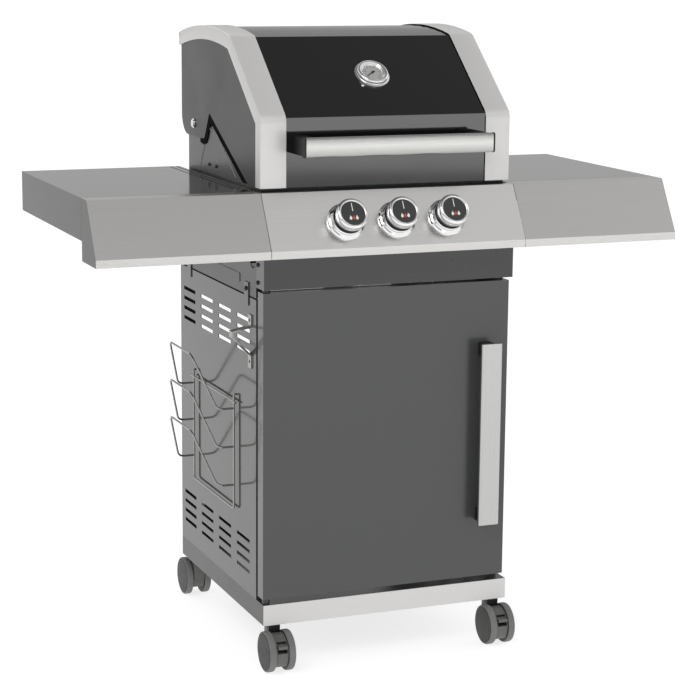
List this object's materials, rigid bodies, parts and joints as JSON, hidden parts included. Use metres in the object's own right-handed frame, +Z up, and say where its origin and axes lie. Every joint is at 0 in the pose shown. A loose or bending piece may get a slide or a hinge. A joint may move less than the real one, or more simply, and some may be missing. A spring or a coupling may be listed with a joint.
{
  "type": "gas barbecue grill",
  "caption": "Free-standing gas barbecue: hinged lid, burners under cooking grates, side tables, control knobs, door cabinet, tool rack and swivel casters.",
  "frame": {"origin": "middle of the overall box, on the floor", "axes": "+Z up, front (door and knobs) towards -Y, +X to the right seen from the front"},
  "size_m": [1.12, 0.5928, 1.1532],
  "materials": {
    "stainless": "brushed",
    "silver_paint": "satin",
    "dark_paint": "semi-gloss",
    "black_enamel": "gloss",
    "black_plastic": "matte",
    "caster_plastic": "matte",
    "chrome": "polished",
    "brass": "machined",
    "cast_iron": "seasoned",
    "ceramic": "glazed",
    "dial_paint": "matte",
    "pointer_paint": "matte"
  },
  "bodies": {
    "grill_frame": {"base_tray": "dark_paint", "base_front_trim": "silver_paint", "side_panel_left": "dark_paint", "side_panel_right": "dark_paint", "rear_panel": "dark_paint", "valance": "dark_paint", "door_pivots": "chrome", "door_catch": "black_plastic", "firebox_end_left": "dark_paint", "firebox_end_right": "dark_paint", "firebox_shell": "black_enamel", "control_panel": "stainless", "knob_bezels": "chrome", "gas_manifold": "stainless", "gas_valves": "brass", "burners": "stainless", "electrodes": "ceramic", "heat_tents": "stainless", "cooking_grates": "cast_iron", "warming_rack": "chrome", "table_left": "stainless", "table_right": "stainless", "fascia_left": "stainless", "fascia_right": "stainless", "table_brackets": "dark_paint", "wire_rack": "chrome", "bottle_opener": "chrome", "bolts": "chrome"},
    "lid": {"lid_panel": "black_enamel", "lid_end_left": "dark_paint", "lid_end_right": "dark_paint", "lid_trim_left": "silver_paint", "lid_trim_right": "silver_paint", "lid_handle_bar": "stainless", "lid_handle_posts": "black_plastic", "thermometer_case": "chrome", "thermometer_dial": "dial_paint"},
    "needle": {"thermometer_pointer": "pointer_paint"},
    "door": {"door_skin": "dark_paint", "door_liner": "dark_paint", "door_handle_bar": "stainless", "door_handle_posts": "black_plastic"},
    "tray": {"drip_tray": "stainless", "grease_cup": "stainless"},
    "stem_left": {"valve_stem_left": "brass"},
    "knob_left": {"knob_left": "black_plastic"},
    "stem_middle": {"valve_stem_middle": "brass"},
    "knob_middle": {"knob_middle": "black_plastic"},
    "stem_right": {"valve_stem_right": "brass"},
    "knob_right": {"knob_right": "black_plastic"},
    "caster_front_left": {"caster_front_left": "caster_plastic"},
    "wheels_front_left": {"wheels_front_left": "caster_plastic"},
    "caster_front_right": {"caster_front_right": "caster_plastic"},
    "wheels_front_right": {"wheels_front_right": "caster_plastic"},
    "caster_rear_left": {"caster_rear_left": "caster_plastic"},
    "wheels_rear_left": {"wheels_rear_left": "caster_plastic"},
    "caster_rear_right": {"caster_rear_right": "caster_plastic"},
    "wheels_rear_right": {"wheels_rear_right": "caster_plastic"},
    "brake_left": {"brake_left": "black_plastic"},
    "brake_right": {"brake_right": "black_plastic"}
  },
  "joints": [
    {"name": "lid_hinge", "type": "hinge", "parent": "grill_frame", "child": "lid", "pos_m": [0, 0.1819, 0.9645], "axis": [-1, 0, 0], "range_deg": [0, 85]},
    {"name": "needle_turn", "type": "hinge", "parent": "lid", "child": "needle", "pos_m": [0.0035, -0.11705, 1.07201], "axis": [0, -0.6287, 0.7777], "range_deg": [-250, 0], "stiffness_Nm_per_rad": 0.0005},
    {"name": "door_hinge", "type": "hinge", "parent": "grill_frame", "child": "door", "pos_m": [-0.235, -0.2136, 0.4], "axis": [0, 0, -1], "range_deg": [0, 110]},
    {"name": "tray_slide", "type": "slide", "parent": "grill_frame", "child": "tray", "axis": [0, 1, 0], "range_m": [0, 0.3]},
    {"name": "knob_turn_left", "type": "hinge", "parent": "grill_frame", "child": "stem_left", "pos_m": [-0.098, -0.24738, 0.82201], "axis": [0, -0.8626, 0.5058], "range_deg": [0, 180]},
    {"name": "knob_push_left", "type": "slide", "parent": "stem_left", "child": "knob_left", "axis": [0, 0.8626, -0.5058], "range_m": [0, 0.004], "stiffness_N_per_m": 2000, "springref_m": -0.003},
    {"name": "knob_turn_middle", "type": "hinge", "parent": "grill_frame", "child": "stem_middle", "pos_m": [0, -0.24738, 0.82201], "axis": [0, -0.8626, 0.5058], "range_deg": [0, 180]},
    {"name": "knob_push_middle", "type": "slide", "parent": "stem_middle", "child": "knob_middle", "axis": [0, 0.8626, -0.5058], "range_m": [0, 0.004], "stiffness_N_per_m": 2000, "springref_m": -0.003},
    {"name": "knob_turn_right", "type": "hinge", "parent": "grill_frame", "child": "stem_right", "pos_m": [0.098, -0.24738, 0.82201], "axis": [0, -0.8626, 0.5058], "range_deg": [0, 180]},
    {"name": "knob_push_right", "type": "slide", "parent": "stem_right", "child": "knob_right", "axis": [0, 0.8626, -0.5058], "range_m": [0, 0.004], "stiffness_N_per_m": 2000, "springref_m": -0.003},
    {"name": "swivel_front_left", "type": "hinge", "parent": "grill_frame", "child": "caster_front_left", "pos_m": [-0.221, -0.2096, 0.06], "axis": [0, 0, 1], "continuous": true},
    {"name": "roll_front_left", "type": "hinge", "parent": "caster_front_left", "child": "wheels_front_left", "pos_m": [-0.221, -0.2346, 0.0375], "axis": [1, 0, 0], "continuous": true},
    {"name": "swivel_front_right", "type": "hinge", "parent": "grill_frame", "child": "caster_front_right", "pos_m": [0.221, -0.2096, 0.06], "axis": [0, 0, 1], "continuous": true},
    {"name": "roll_front_right", "type": "hinge", "parent": "caster_front_right", "child": "wheels_front_right", "pos_m": [0.221, -0.2346, 0.0375], "axis": [1, 0, 0], "continuous": true},
    {"name": "swivel_rear_left", "type": "hinge", "parent": "grill_frame", "child": "caster_rear_left", "pos_m": [-0.221, 0.2339, 0.06], "axis": [0, 0, 1], "continuous": true},
    {"name": "roll_rear_left", "type": "hinge", "parent": "caster_rear_left", "child": "wheels_rear_left", "pos_m": [-0.221, 0.2589, 0.0375], "axis": [1, 0, 0], "continuous": true},
    {"name": "swivel_rear_right", "type": "hinge", "parent": "grill_frame", "child": "caster_rear_right", "pos_m": [0.221, 0.2339, 0.06], "axis": [0, 0, 1], "continuous": true},
    {"name": "roll_rear_right", "type": "hinge", "parent": "caster_rear_right", "child": "wheels_rear_right", "pos_m": [0.221, 0.2589, 0.0375], "axis": [1, 0, 0], "continuous": true},
    {"name": "brake_press_left", "type": "hinge", "parent": "caster_front_left", "child": "brake_left", "pos_m": [-0.221, -0.2556, 0.0525], "axis": [1, 0, 0], "range_deg": [0, 12]},
    {"name": "brake_press_right", "type": "hinge", "parent": "caster_front_right", "child": "brake_right", "pos_m": [0.221, -0.2556, 0.0525], "axis": [1, 0, 0], "range_deg": [0, 12]}
  ]
}
